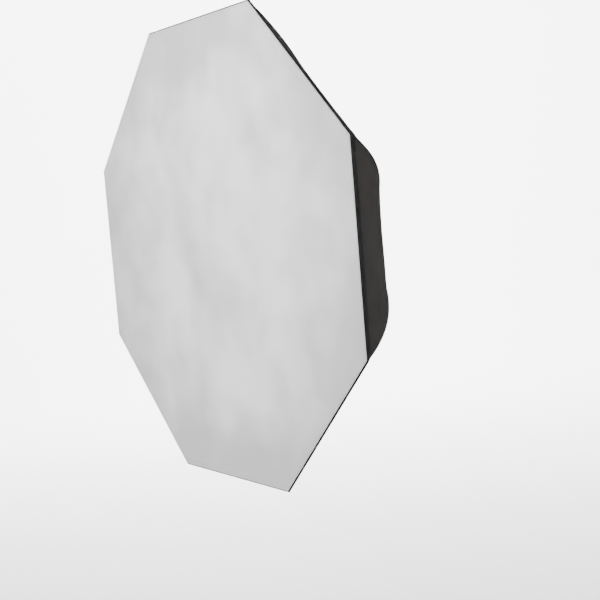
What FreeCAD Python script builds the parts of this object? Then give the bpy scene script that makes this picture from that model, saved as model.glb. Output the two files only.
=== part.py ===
"""Octagonal studio softbox, 1.5 m across its corners, modelled as the pieces it is assembled from.

The optical axis is the Y axis. The softbox shines towards -Y, +Z is up, and the origin is the centre of the
seat face that meets the flash head. A three-lug bayonet insert stays on the flash head. The speedring turns
on it, and carries eight sockets. A bowed fibreglass rod springs from each socket to a corner of the front
rim and stretches the cloth. The front diffuser is held on the rim by hook-and-loop tape.

All lengths are millimetres and all angles are degrees.
"""
import FreeCAD
import Part
import Sketcher
import math
import os

Vector = FreeCAD.Vector
Rotation = FreeCAD.Rotation
Placement = FreeCAD.Placement

SIDES = 8
STEP_ANGLE = 360.0 / SIDES
HALF_STEP = STEP_ANGLE / 2

# Driving dimensions. y values grow to the rear and radii are measured from the optical axis.
DIMENSIONS = {
    # bayonet insert, the piece that stays on the flash head
    "bore_radius": 46.0,
    "spigot_radius": 49.5,
    "spigot_length": 13.0,
    "lug_radius": 57.0,
    "lug_thickness": 4.0,
    "lug_angle": 36.0,
    "seat_radius": 66.0,
    "seat_thickness": 3.0,
    "journal_radius": 58.0,
    "journal_front": -30.0,
    "washer_thickness": 1.0,
    "retainer_bore": 46.5,
    "retainer_radius": 66.0,
    "retainer_thickness": 3.0,
    "screw_circle": 52.0,
    "screw_radius": 1.5,
    "screw_head_radius": 2.8,
    "screw_head_height": 1.8,
    "screw_depth": 10.0,
    # speedring, which turns on the insert's journal
    "running_gap": 0.08,
    "hub_rear": -4.3,
    "hub_shoulder": -29.6,
    "hub_radius": 72.0,
    "hub_front_bore": 68.0,
    "flange_rear": -36.5,
    "flange_front": -62.0,
    "flange_radius": 98.0,
    "boss_radius": 9.0,
    "boss_top": 78.0,
    # lock screw: its knob turns, and its pad moves with the thread
    "knob_y": -16.0,
    "knob_screw_radius": 4.0,
    "knob_base": 86.0,
    "knob_top": 104.0,
    "knob_radius": 12.0,
    "flute_radius": 4.0,
    "flute_circle": 14.5,
    "neck_radius": 6.5,
    "pad_face": 58.3,
    "pad_back": 60.3,
    "pad_radius": 3.6,
    "pin_radius": 1.5,
    "pin_length": 1.2,
    # rods: straight in the socket, then one arc out to the corner
    "socket_y": -56.0,
    "socket_r": 112.0,
    "socket_length": 30.0,
    "socket_radius": 6.5,
    "socket_bore": 5.1,
    "socket_floor": 2.5,
    "rod_tilt": 19.9,
    "rod_arc": 1290.0,
    "rod_sweep": 34.5,
    "rod_radius": 4.0,
    "rod_clearance": 0.15,
    "ferrule_radius": 5.0,
    "ferrule_mouth": 8.0,
    "ferrule_floor": 1.5,
    "cap_radius": 6.0,
    "cap_overlap": 0.75,
    "cap_nose": 0.25,
    "pocket_radius": 7.6,
    "pocket_overlap": 1.4,
    "pocket_nose": 0.35,
    "keeper_radius": 6.0,
    "keeper_angle": 0.7,
    "keeper_low": 12.9,
    "keeper_high": 24.9,
    # cloth shell: gores that are flat across, each with one arc as its mid-line
    "rim_y": -540.0,
    "rim_corner": 750.0,
    "gore_arc": 1250.0,
    "gore_front_angle": 31.6,
    "shell_rear": 99.8,
    "cloth": 1.2,
    "seam_gap": 0.1,
    "seam_allowance": 10.0,
    "binding": 1.0,
    "binding_width": 26.0,
    "layer_gap": 0.05,
    # rear collar
    "collar_outer": 112.0,
    "collar_inner": 74.5,
    "collar_front": -36.2,
    "collar_cloth": 1.0,
    "elastic_radius": 2.0,
    # front rim, tapes and diffuser
    "webbing_width": 30.0,
    "webbing": 1.5,
    "tape_width": 25.0,
    "tape": 1.2,
    "tape_inset": 2.5,
    "tape_clearance": 0.3,
    "webbing_inset": 5.5,
    "diffuser_inset": 1.0,
    "hem_width": 28.0,
    "hem": 0.8,
    "diffuser_cloth": 0.8,
    # inner baffle
    "baffle_y": -370.0,
    "baffle_corner": 520.0,
    "baffle_cloth": 0.8,
    "baffle_hem": 0.8,
    "baffle_hem_width": 22.0,
    "strap_width": 20.0,
    "strap_thickness": 1.5,
    "strap_start": 480.0,
    "strap_end": 587.5,
    "stud_circle": 498.0,
    "stud_radius": 6.0,
    "stud_height": 2.0,
}

doc = FreeCAD.newDocument("softbox")
sheet = doc.addObject("Spreadsheet::Sheet", "Sizes")
for row, (alias, value) in enumerate(DIMENSIONS.items(), start=1):
    sheet.set(f"A{row}", alias)
    sheet.set(f"B{row}", str(value))
    sheet.setAlias(f"B{row}", alias)
doc.recompute()

sub_parts = {}


def size(alias):
    """A driving dimension as the sheet holds it."""
    return float(sheet.get(alias))


def cell(alias):
    """The name by which an expression reads a driving dimension."""
    return f"Sizes.{alias}"


def keep(node, made):
    """Makes an object the sub-part of that name."""
    made.Label = node
    sub_parts[node] = made
    return made


def new_body(name):
    """An empty PartDesign body, which may hold several separate solids."""
    body = doc.addObject("PartDesign::Body", name)
    if "AllowCompound" in body.PropertiesList:
        body.AllowCompound = True
    return body


def plane_of(body, role):
    """One of the body's own origin planes or axes."""
    return next(f for f in body.Origin.OriginFeatures if f.Role == role)


def new_sketch(body, name, plane):
    sketch = body.newObject("Sketcher::SketchObject", name)
    sketch.AttachmentSupport = [(plane_of(body, plane), "")]
    sketch.MapMode = "FlatFace"
    return sketch


def bind_point(sketch, geometry, point, across, up):
    """Fixes one sketch point, from where it lies now, at two expressions."""
    now = sketch.getPoint(geometry, point)
    for kind, start, expression in (("DistanceX", now.x, across), ("DistanceY", now.y, up)):
        index = sketch.addConstraint(Sketcher.Constraint(kind, geometry, point, start))
        sketch.setExpression(f"Constraints[{index}]", str(expression))


def polygon(body, name, plane, corners, axis=None):
    """A closed outline whose corners are pairs of expressions, with an optional line as its axis."""
    sketch = new_sketch(body, name, plane)
    count = len(corners)
    turns = [2 * math.pi * i / count for i in range(count)]
    start = [Vector(math.cos(angle), math.sin(angle), 0) for angle in turns]
    for i in range(count):
        sketch.addGeometry(Part.LineSegment(start[i], start[(i + 1) % count]), False)
    for i in range(count):
        sketch.addConstraint(Sketcher.Constraint("Coincident", i, 2, (i + 1) % count, 1))
    for i, (across, up) in enumerate(corners):
        bind_point(sketch, i, 1, across, up)
    if axis:
        line = sketch.addGeometry(Part.LineSegment(Vector(0, 0, 0), Vector(0, 1, 0)), True)
        for point, (across, up) in zip((1, 2), axis):
            bind_point(sketch, line, point, across, up)
    return sketch


def circles(body, name, plane, up, radii):
    """Concentric circles above the sketch's origin: one makes a disc and two a ring."""
    sketch = new_sketch(body, name, plane)
    for radius in radii:
        circle = sketch.addGeometry(Part.Circle(Vector(0, 10, 0), Vector(0, 0, 1), 5), False)
        bind_point(sketch, circle, 3, 0, up)
        index = sketch.addConstraint(Sketcher.Constraint("Radius", circle, 5.0))
        sketch.setExpression(f"Constraints[{index}]", str(radius))
    return sketch


def pad(body, name, sketch, length, reversed_way=False, midplane=False):
    feature = body.newObject("PartDesign::Pad", name)
    feature.Profile = sketch
    feature.setExpression("Length", str(length))
    feature.Reversed = reversed_way
    feature.Midplane = midplane
    sketch.Visibility = False
    return feature


def pocket_through(body, name, sketch):
    feature = body.newObject("PartDesign::Pocket", name)
    feature.Profile = sketch
    feature.Type = "ThroughAll"
    feature.Midplane = True
    return feature


def turn(body, name, sketch, axis="V_Axis", angle="360", cut=False, midplane=False, reversed_way=False):
    """A revolution, or a groove where cut is set."""
    feature = body.newObject("PartDesign::Groove" if cut else "PartDesign::Revolution", name)
    feature.Profile = sketch
    feature.ReferenceAxis = (sketch, [axis])
    feature.setExpression("Angle", str(angle))
    feature.Midplane = midplane
    feature.Reversed = reversed_way
    return feature


def round_pattern(body, name, features, count):
    """Repeats features evenly round the optical axis."""
    pattern = body.newObject("PartDesign::PolarPattern", name)
    pattern.Originals = features
    pattern.Axis = (plane_of(body, "Y_Axis"), [""])
    pattern.Angle = 360
    pattern.Occurrences = count
    body.Tip = pattern
    return pattern


def round_the_axis(angle):
    """The placement that turns a piece built above the axis to its place round the ring."""
    return Placement(Vector(0, 0, 0), Rotation(Vector(0, 1, 0), angle))


def corner_angle(k):
    return HALF_STEP + STEP_ANGLE * (k - 1)


def gore_angle(k):
    return STEP_ANGLE * (k - 1)


def on_rod(angle_along):
    """Placement of a piece built round (0, 0, rod_arc), at an angle along the rod's arc from the socket."""
    tilt = math.radians(size("rod_tilt"))
    centre = Vector(0, size("socket_y") - size("rod_arc") * math.cos(tilt),
                    size("socket_r") - size("rod_arc") * math.sin(tilt))
    return Placement(centre, Rotation(Vector(1, 0, 0), angle_along + size("rod_tilt") - 90))


def group_of(node, master, placements):
    """Identical pieces as separate solids of one sub-part."""
    doc.recompute()
    group = doc.addObject("Part::Feature", node)
    copies = []
    for place in placements:
        copy = master.Shape.copy()
        copy.Placement = place.multiply(copy.Placement)
        copies.append(copy)
    group.Shape = Part.makeCompound(copies)
    return keep(node, group)


# ---------------------------------------------------------------- bayonet insert


def make_insert():
    """Spigot, seat flange and journal in one turning, with three lugs and four tapped holes."""
    body = new_body("insert_body")
    profile = polygon(body, "insert_profile", "XY_Plane", [
        (cell("bore_radius"), cell("journal_front")),
        (cell("journal_radius"), cell("journal_front")),
        (cell("journal_radius"), f"-{cell('seat_thickness')}"),
        (cell("seat_radius"), f"-{cell('seat_thickness')}"),
        (cell("seat_radius"), "0"),
        (cell("spigot_radius"), "0"),
        (cell("spigot_radius"), cell("spigot_length")),
        (cell("bore_radius"), cell("spigot_length")),
    ])
    turn(body, "insert_turning", profile)
    root = f"{cell('spigot_radius')} - 1"
    lug_front = f"{cell('spigot_length')} - {cell('lug_thickness')}"
    lug_profile = polygon(body, "lug_profile", "XY_Plane", [
        (root, lug_front),
        (cell("lug_radius"), lug_front),
        (cell("lug_radius"), cell("spigot_length")),
        (root, cell("spigot_length")),
    ])
    lug = turn(body, "lug", lug_profile, angle=cell("lug_angle"), midplane=True)
    round_pattern(body, "lugs", [lug], 3)
    hole = screw_outline(body, "tapped_hole_profile", 0.15)
    groove = turn(body, "tapped_hole", hole, axis="Axis0", cut=True)
    round_pattern(body, "tapped_holes", [groove], 4)
    return keep("bayonet_insert", body)


def screw_outline(body, name, slack):
    """The shank of a retainer screw, or with slack the hole that it goes into."""
    front = f"{cell('journal_front')} - {cell('retainer_thickness')} - 1"
    rear = f"{cell('journal_front')} + {cell('screw_depth')} + {slack}"
    wall = f"{cell('screw_circle')} + {cell('screw_radius')} + {slack}"
    return polygon(body, name, "XY_Plane", [
        (cell("screw_circle"), front),
        (wall, front),
        (wall, rear),
        (cell("screw_circle"), rear),
    ], axis=[(cell("screw_circle"), front), (cell("screw_circle"), rear)])


def make_retainer():
    """The plate screwed to the journal, which keeps the speedring on."""
    body = new_body("retainer_body")
    rear = cell("journal_front")
    front = f"{cell('journal_front')} - {cell('retainer_thickness')}"
    profile = polygon(body, "retainer_profile", "XY_Plane", [
        (cell("retainer_bore"), front),
        (cell("retainer_radius"), front),
        (cell("retainer_radius"), rear),
        (cell("retainer_bore"), rear),
    ])
    turn(body, "retainer_plate", profile)
    hole = screw_outline(body, "clearance_hole_profile", 0.2)
    groove = turn(body, "clearance_hole", hole, axis="Axis0", cut=True)
    round_pattern(body, "clearance_holes", [groove], 4)
    return keep("insert_retainer", body)


def make_retainer_screws():
    """Four pan-head screws, each a separate solid."""
    body = new_body("screws_body")
    face = f"{cell('journal_front')} - {cell('retainer_thickness')}"
    head = f"{face} - {cell('screw_head_height')}"
    rear = f"{cell('journal_front')} + {cell('screw_depth')}"
    centre = cell("screw_circle")
    shank = f"{centre} + {cell('screw_radius')}"
    rim = f"{centre} + {cell('screw_head_radius')}"
    profile = polygon(body, "screw_profile", "XY_Plane", [
        (centre, head),
        (rim, head),
        (rim, face),
        (shank, face),
        (shank, rear),
        (centre, rear),
    ], axis=[(centre, head), (centre, rear)])
    screw = turn(body, "screw", profile, axis="Axis0")
    round_pattern(body, "screws", [screw], 4)
    return keep("retainer_screws", body)


def make_washer():
    """Glide washer between the seat flange and the speedring's hub."""
    body = new_body("washer_body")
    rear = f"-{cell('seat_thickness')}"
    front = f"-{cell('seat_thickness')} - {cell('washer_thickness')}"
    profile = polygon(body, "washer_profile", "XY_Plane", [
        (f"{cell('journal_radius')} + 0.2", front),
        (f"{cell('seat_radius')} - 1", front),
        (f"{cell('seat_radius')} - 1", rear),
        (f"{cell('journal_radius')} + 0.2", rear),
    ])
    turn(body, "washer_ring", profile)
    return keep("glide_washer", body)


# ---------------------------------------------------------------- speedring and lock


def make_speedring():
    """Hub and socket flange, with a boss for the lock screw and eight tilted socket holes."""
    body = new_body("speedring_body")
    bore = f"{cell('journal_radius')} + {cell('running_gap')}"
    profile = polygon(body, "ring_profile", "XY_Plane", [
        (bore, cell("hub_rear")),
        (bore, cell("hub_shoulder")),
        (cell("hub_front_bore"), cell("hub_shoulder")),
        (cell("hub_front_bore"), cell("flange_front")),
        (cell("flange_radius"), cell("flange_front")),
        (cell("flange_radius"), cell("flange_rear")),
        (cell("hub_radius"), cell("flange_rear")),
        (cell("hub_radius"), cell("hub_rear")),
    ])
    turn(body, "ring_casting", profile)
    boss_root = f"-{cell('hub_radius')} + 2"
    boss = polygon(body, "boss_profile", "YZ_Plane", [
        (cell("knob_y"), boss_root),
        (f"{cell('knob_y')} + {cell('boss_radius')}", boss_root),
        (f"{cell('knob_y')} + {cell('boss_radius')}", f"-{cell('boss_top')}"),
        (cell("knob_y"), f"-{cell('boss_top')}"),
    ], axis=[(cell("knob_y"), boss_root), (cell("knob_y"), f"-{cell('boss_top')}")])
    turn(body, "lock_boss", boss, axis="Axis0")
    wall = f"{cell('knob_y')} + {cell('knob_screw_radius')} + 0.1"
    inside = f"-{cell('journal_radius')} + 3"
    outside = f"-{cell('boss_top')} - 1"
    hole = polygon(body, "lock_hole_profile", "YZ_Plane", [
        (cell("knob_y"), inside),
        (wall, inside),
        (wall, outside),
        (cell("knob_y"), outside),
    ], axis=[(cell("knob_y"), inside), (cell("knob_y"), outside)])
    turn(body, "lock_hole", hole, axis="Axis0", cut=True)
    along_y = f"sin({cell('rod_tilt')})"
    along_z = f"cos({cell('rod_tilt')})"
    deep = cell("socket_length")
    rad = f"({cell('socket_radius')} + {cell('layer_gap')})"
    inner = (f"{cell('socket_y')} + {deep} * {along_y}", f"{cell('socket_r')} - {deep} * {along_z}")
    outer = (cell("socket_y"), cell("socket_r"))
    shift = (f"{rad} * {along_z}", f"{rad} * {along_y}")
    seat = polygon(body, "socket_hole_profile", "YZ_Plane", [
        inner,
        (f"{inner[0]} + {shift[0]}", f"{inner[1]} + {shift[1]}"),
        (f"{outer[0]} + {shift[0]}", f"{outer[1]} + {shift[1]}"),
        outer,
    ], axis=[inner, outer])
    seat.AttachmentOffset = Placement(Vector(0, 0, 0), Rotation(Vector(1, 0, 0), HALF_STEP))
    socket_hole = turn(body, "socket_hole", seat, axis="Axis0", cut=True)
    round_pattern(body, "socket_holes", [socket_hole], SIDES)
    return keep("speedring", body)


def make_lock_knob():
    """Fluted knob and its screw in one piece, with a pin at the tip that carries the pad."""
    body = new_body("knob_body")
    down = {name: f"-{cell(name)}" for name in ("pad_back", "knob_base", "knob_top")}
    tip = f"{down['pad_back']} + {cell('pin_length')}"
    centre = cell("knob_y")
    outline = [
        (centre, tip),
        (f"{centre} + {cell('pin_radius')}", tip),
        (f"{centre} + {cell('pin_radius')}", f"{down['pad_back']} - {cell('layer_gap')}"),
        (f"{centre} + {cell('knob_screw_radius')}", f"{down['pad_back']} - {cell('layer_gap')}"),
        (f"{centre} + {cell('knob_screw_radius')}", f"-{cell('boss_top')} - 1.5"),
        (f"{centre} + {cell('neck_radius')}", f"-{cell('boss_top')} - 1.5"),
        (f"{centre} + {cell('neck_radius')}", down["knob_base"]),
        (f"{centre} + {cell('knob_radius')}", down["knob_base"]),
        (f"{centre} + {cell('knob_radius')}", down["knob_top"]),
        (centre, down["knob_top"]),
    ]
    knob_axis = [(centre, tip), (centre, down["knob_top"])]
    profile = polygon(body, "knob_profile", "YZ_Plane", outline, axis=knob_axis)
    turn(body, "knob_turning", profile, axis="Axis0")
    flutes = new_sketch(body, "flute_profile", "XY_Plane")
    for k in range(6):
        angle = 60 * k
        circle = flutes.addGeometry(Part.Circle(Vector(10 + k, 10, 0), Vector(0, 0, 1), 4), False)
        bind_point(flutes, circle, 3, f"{cell('flute_circle')} * cos({angle})",
                   f"{centre} + {cell('flute_circle')} * sin({angle})")
        index = flutes.addConstraint(Sketcher.Constraint("Radius", circle, 4.0))
        flutes.setExpression(f"Constraints[{index}]", cell("flute_radius"))
    pocket_through(body, "flutes", flutes)
    return keep("lock_knob", body)


def make_lock_pad():
    """Nylon pad that presses on the journal and doesn't turn with the screw."""
    body = new_body("pad_body")
    centre = cell("knob_y")
    face = f"-{cell('pad_face')}"
    back = f"-{cell('pad_back')}"
    floor = f"{back} + {cell('pin_length')} + {cell('layer_gap')}"
    hole = f"{centre} + {cell('pin_radius')} + {cell('layer_gap')}"
    rim = f"{centre} + {cell('pad_radius')}"
    profile = polygon(body, "pad_profile", "YZ_Plane", [
        (centre, face),
        (rim, face),
        (rim, back),
        (hole, back),
        (hole, floor),
        (centre, floor),
    ], axis=[(centre, face), (centre, floor)])
    turn(body, "pad_disc", profile, axis="Axis0")
    return keep("lock_pad", body)


# ---------------------------------------------------------------- rods


def rod_bore():
    """Radius of every hole that a rod goes through."""
    return f"{cell('rod_radius')} + {cell('rod_clearance')}"


def rod_seat():
    """How far the rod reaches into its socket."""
    return f"{cell('socket_length')} - {cell('socket_floor')} - {cell('ferrule_floor')} - 0.2"


def make_rods():
    """Eight sprung rods, each straight in its socket and then bent to one arc."""
    for k in range(1, SIDES + 1):
        body = new_body(f"rod_body_{k}")
        straight = circles(body, f"rod_section_{k}", "XZ_Plane", cell("rod_arc"), [cell("rod_radius")])
        pad(body, f"rod_seat_{k}", straight, rod_seat(), reversed_way=True)
        bent = circles(body, f"rod_bend_section_{k}", "XZ_Plane", cell("rod_arc"), [cell("rod_radius")])
        turn(body, f"rod_bend_{k}", bent, axis="H_Axis", angle=cell("rod_sweep"))
        body.Placement = round_the_axis(corner_angle(k)).multiply(on_rod(0))
        keep(f"rod_{k}", body)


def at_every_corner(angle_along):
    return [round_the_axis(corner_angle(k)).multiply(on_rod(angle_along)) for k in range(1, SIDES + 1)]


def make_rod_sockets():
    """Eight blind tubes, held in the speedring's flange."""
    body = new_body("socket_master")
    arc = cell("rod_arc")
    deep = cell("socket_length")
    profile = polygon(body, "socket_profile", "YZ_Plane", [
        ("0", f"{arc} + {cell('socket_bore')}"),
        ("0", f"{arc} + {cell('socket_radius')}"),
        (deep, f"{arc} + {cell('socket_radius')}"),
        (deep, arc),
        (f"{deep} - {cell('socket_floor')}", arc),
        (f"{deep} - {cell('socket_floor')}", f"{arc} + {cell('socket_bore')}"),
    ], axis=[("0", arc), (deep, arc)])
    turn(body, "socket_turning", profile, axis="Axis0")
    return group_of("rod_sockets", body, at_every_corner(0))


def make_rod_ferrules():
    """Eight steel ferrules crimped on the rods' inner ends."""
    body = new_body("ferrule_master")
    arc = cell("rod_arc")
    mouth = f"-{cell('ferrule_mouth')}"
    end = f"{cell('socket_length')} - {cell('socket_floor')} - 0.1"
    floor = f"{end} - {cell('ferrule_floor')}"
    profile = polygon(body, "ferrule_profile", "YZ_Plane", [
        (mouth, f"{arc} + {rod_bore()}"),
        (mouth, f"{arc} + {cell('ferrule_radius')}"),
        (end, f"{arc} + {cell('ferrule_radius')}"),
        (end, arc),
        (floor, arc),
        (floor, f"{arc} + {rod_bore()}"),
    ], axis=[(mouth, arc), (end, arc)])
    turn(body, "ferrule_turning", profile, axis="Axis0")
    return group_of("rod_ferrules", body, at_every_corner(0))


def make_rod_caps():
    """Eight rounded caps on the rods' outer ends."""
    body = new_body("cap_master")
    section = circles(body, "cap_section", "XZ_Plane", cell("rod_arc"), [cell("cap_radius"), rod_bore()])
    turn(body, "cap_skirt", section, axis="H_Axis", angle=cell("cap_overlap"), reversed_way=True)
    nose = circles(body, "nose_section", "XZ_Plane", cell("rod_arc"), [cell("cap_radius")])
    turn(body, "cap_nose", nose, axis="H_Axis", angle=f"{cell('cap_nose')} + 0.01")
    seat = circles(body, "seat_section", "XZ_Plane", cell("rod_arc"), [rod_bore()])
    turn(body, "cap_seat", seat, axis="H_Axis", angle="0.01", cut=True)
    return group_of("rod_caps", body, at_every_corner(size("rod_sweep")))


def make_corner_pockets():
    """Eight cloth pockets that hold the rod caps in the rim's corners."""
    body = new_body("pocket_master")
    hole = f"{cell('cap_radius')} + {cell('layer_gap')}"
    section = circles(body, "pocket_section", "XZ_Plane", cell("rod_arc"), [cell("pocket_radius"), hole])
    turn(body, "pocket_sleeve", section, axis="H_Axis", angle=cell("pocket_overlap"), reversed_way=True)
    nose = circles(body, "pocket_nose_section", "XZ_Plane", cell("rod_arc"), [cell("pocket_radius")])
    turn(body, "pocket_nose", nose, axis="H_Axis", angle=cell("pocket_nose"))
    seat = circles(body, "pocket_seat_section", "XZ_Plane", cell("rod_arc"), [hole])
    turn(body, "pocket_seat", seat, axis="H_Axis", angle=f"{cell('cap_nose')} + 0.02", cut=True)
    return group_of("corner_pockets", body, at_every_corner(size("rod_sweep")))


def make_rod_keepers():
    """Two narrow loops round each rod, which hold it in line with its seam."""
    body = new_body("keeper_master")
    radii = [cell("keeper_radius"), rod_bore()]
    section = circles(body, "keeper_section", "XZ_Plane", cell("rod_arc"), radii)
    turn(body, "keeper_loop", section, axis="H_Axis", angle=cell("keeper_angle"), midplane=True)
    places = at_every_corner(size("keeper_low")) + at_every_corner(size("keeper_high"))
    return group_of("rod_keepers", body, places)


# ---------------------------------------------------------------- cloth shell


def gore_centre():
    """Expressions for the centre of the gore's mid-line arc."""
    return (
        f"{cell('rim_y')} - {cell('gore_arc')} * sin({cell('gore_front_angle')})",
        f"{cell('rim_corner')} * cos({HALF_STEP}) - {cell('gore_arc')} * cos({cell('gore_front_angle')})",
    )


def gore_point(depth, y=None, r=None):
    """A point on the arc that lies that deep under the gore's outer face, at a given y or a given radius."""
    front = math.radians(size("gore_front_angle"))
    centre_y = size("rim_y") - size("gore_arc") * math.sin(front)
    centre_r = size("rim_corner") * math.cos(math.radians(HALF_STEP)) - size("gore_arc") * math.cos(front)
    radius = size("gore_arc") - depth
    if y is None:
        return Vector(centre_y + math.sqrt(radius ** 2 - (r - centre_r) ** 2), r, 0)
    return Vector(y, centre_r + math.sqrt(radius ** 2 - (y - centre_y) ** 2), 0)


def layer_profile(body, name, outer_depth, inner_depth, rear_kind, rear_value):
    """Section of a cloth layer between two depths under the gore's outer face, from the rim back to a cut.

    Depths are pairs of a number and the expression that drives it. The rear cut is at a radius or at a y.
    """
    sketch = new_sketch(body, name, "YZ_Plane")
    rim = size("rim_y")
    ends = []
    for depth, _ in (outer_depth, inner_depth):
        rear = gore_point(depth, **{rear_kind: rear_value[0]})
        ends.append((rear, gore_point(depth, y=rim)))
    front = math.radians(size("gore_front_angle"))
    centre = Vector(rim - size("gore_arc") * math.sin(front),
                    gore_point(0, y=rim).y - size("gore_arc") * math.cos(front), 0)
    arcs = []
    for (rear, tip), (depth, expression) in zip(ends, (outer_depth, inner_depth)):
        circle = Part.Circle(centre, Vector(0, 0, 1), size("gore_arc") - depth)
        start = math.atan2(rear.y - centre.y, rear.x - centre.x)
        stop = math.atan2(tip.y - centre.y, tip.x - centre.x)
        arc = sketch.addGeometry(Part.ArcOfCircle(circle, start, stop), False)
        across, up = gore_centre()
        bind_point(sketch, arc, 3, across, up)
        index = sketch.addConstraint(Sketcher.Constraint("Radius", arc, circle.Radius))
        sketch.setExpression(f"Constraints[{index}]", f"{cell('gore_arc')} - ({expression})")
        arcs.append(arc)
    outer, inner = arcs
    front_edge = sketch.addGeometry(Part.LineSegment(ends[0][1], ends[1][1]), False)
    rear_edge = sketch.addGeometry(Part.LineSegment(ends[1][0], ends[0][0]), False)
    sketch.addConstraint(Sketcher.Constraint("Coincident", outer, 2, front_edge, 1))
    sketch.addConstraint(Sketcher.Constraint("Coincident", front_edge, 2, inner, 2))
    sketch.addConstraint(Sketcher.Constraint("Coincident", inner, 1, rear_edge, 1))
    sketch.addConstraint(Sketcher.Constraint("Coincident", rear_edge, 2, outer, 1))
    sketch.addConstraint(Sketcher.Constraint("Vertical", front_edge))
    index = sketch.addConstraint(Sketcher.Constraint("DistanceX", outer, 2, rim))
    sketch.setExpression(f"Constraints[{index}]", cell("rim_y"))
    along = {"y": "Vertical", "r": "Horizontal"}[rear_kind]
    sketch.addConstraint(Sketcher.Constraint(along, rear_edge))
    way = {"y": "DistanceX", "r": "DistanceY"}[rear_kind]
    index = sketch.addConstraint(Sketcher.Constraint(way, outer, 1, rear_value[0]))
    sketch.setExpression(f"Constraints[{index}]", rear_value[1])
    return sketch


def trim_to_seams(body, name, gap):
    """Cuts a layer off at the meridian planes of the two seams beside it."""
    reach = f"{cell('rim_corner')} + 20"
    for side, sign in (("right", ""), ("left", "-")):
        sketch = polygon(body, f"{name}_{side}", "XZ_Plane", [
            (f"{sign}(20 * tan({HALF_STEP}) - {gap})", "20"),
            (f"{sign}(({reach}) * tan({HALF_STEP}) - {gap})", reach),
            (f"{sign}({reach})", reach),
            (f"{sign}({reach})", "20"),
        ])
        pocket_through(body, f"{name}_{side}_cut", sketch)


def trim_middle(body, name, width):
    """Leaves only the strip of that width beside each seam."""
    reach = f"{cell('rim_corner')} + 20"
    sketch = polygon(body, name, "XZ_Plane", [
        (f"-(60 * tan({HALF_STEP}) - {width})", "60"),
        (f"60 * tan({HALF_STEP}) - {width}", "60"),
        (f"({reach}) * tan({HALF_STEP}) - {width}", reach),
        (f"-(({reach}) * tan({HALF_STEP}) - {width})", reach),
    ])
    pocket_through(body, f"{name}_cut", sketch)


def layer(name, outer_depth, inner_depth, rear_kind, rear_value, gap):
    """One gore-shaped layer at the top of the ring."""
    body = new_body(name)
    profile = layer_profile(body, f"{name}_profile", outer_depth, inner_depth, rear_kind, rear_value)
    pad(body, f"{name}_pad", profile, f"2 * ({cell('rim_corner')} * sin({HALF_STEP}) + 12)", midplane=True)
    trim_to_seams(body, f"{name}_seam", gap)
    return body


def make_shell_panels():
    """Eight gores of black cloth with a silver face inside."""
    rear = (size("shell_rear"), cell("shell_rear"))
    for k in range(1, SIDES + 1):
        body = layer(f"gore_{k}", (0, "0"), (size("cloth"), cell("cloth")), "r", rear, cell("seam_gap"))
        body.Placement = round_the_axis(gore_angle(k))
        keep(f"shell_panel_{k}", body)


def make_seam_bindings():
    """The taped seam allowances, flat on the inside of the gores along every seam."""
    gap = size("layer_gap")
    outer = (size("cloth") + gap, f"{cell('cloth')} + {cell('layer_gap')}")
    inner = (outer[0] + size("binding"), f"{outer[1]} + {cell('binding')}")
    rear = (size("shell_rear") + 12, f"{cell('shell_rear')} + 12")
    body = layer("seam_master", outer, inner, "r", rear, f"({cell('seam_gap')} + 0.1)")
    trim_middle(body, "allowance", cell("seam_allowance"))
    places = [round_the_axis(gore_angle(k)) for k in range(1, SIDES + 1)]
    return group_of("seam_bindings", body, places)


def make_rim_binding():
    """Black edging sewn over the outside of the gores' front edge, one strip on each side."""
    gap = size("layer_gap")
    outer = (-gap - size("binding"), f"-{cell('layer_gap')} - {cell('binding')}")
    inner = (-gap, f"-{cell('layer_gap')}")
    rear = (size("rim_y") + size("binding_width"), f"{cell('rim_y')} + {cell('binding_width')}")
    body = layer("binding_master", outer, inner, "y", rear, cell("seam_gap"))
    places = [round_the_axis(gore_angle(k)) for k in range(1, SIDES + 1)]
    return group_of("rim_binding", body, places)


def make_collar():
    """Cloth collar that closes the shell's rear opening round the speedring."""
    body = new_body("collar_body")
    rear = f"{cell('collar_front')} + {cell('collar_cloth')}"
    profile = polygon(body, "collar_profile", "XY_Plane", [
        (cell("collar_inner"), cell("collar_front")),
        (cell("collar_outer"), cell("collar_front")),
        (cell("collar_outer"), rear),
        (cell("collar_inner"), rear),
    ])
    turn(body, "collar_ring", profile)
    return keep("rear_collar", body)


def make_collar_elastic():
    """Elastic cord in the collar's inner hem."""
    torus = doc.addObject("Part::Torus", "elastic_torus")
    torus.setExpression("Radius1", f"{cell('collar_inner')} + {cell('elastic_radius')}")
    torus.setExpression("Radius2", cell("elastic_radius"))
    rear = size("collar_front") + size("collar_cloth") + size("layer_gap") + size("elastic_radius")
    torus.Placement = Placement(Vector(0, rear, 0), Rotation(Vector(1, 0, 0), 90))
    return keep("collar_elastic", torus)


# ---------------------------------------------------------------- front rim and diffuser


def octagon(corner):
    """Corners of a regular octagon with flat sides at the top, bottom, left and right."""
    return [
        (f"({corner}) * sin({HALF_STEP + STEP_ANGLE * k})", f"({corner}) * cos({HALF_STEP + STEP_ANGLE * k})")
        for k in range(SIDES)
    ]


def octagon_plate(node, corner, front, thickness, width=None):
    """An octagonal sheet, or a ring where a width is given, whose front face is at that y."""
    body = new_body(f"{node}_body")
    outline = polygon(body, f"{node}_outline", "XZ_Plane", octagon(corner))
    outline.setExpression("AttachmentOffset.Base.z", f"-({front})")
    pad(body, f"{node}_pad", outline, thickness, reversed_way=True)
    if width:
        opening = octagon(f"{corner} - ({width}) / cos({HALF_STEP})")
        inner = polygon(body, f"{node}_opening", "XZ_Plane", opening)
        pocket_through(body, f"{node}_cut", inner)
    return keep(node, body)


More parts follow.
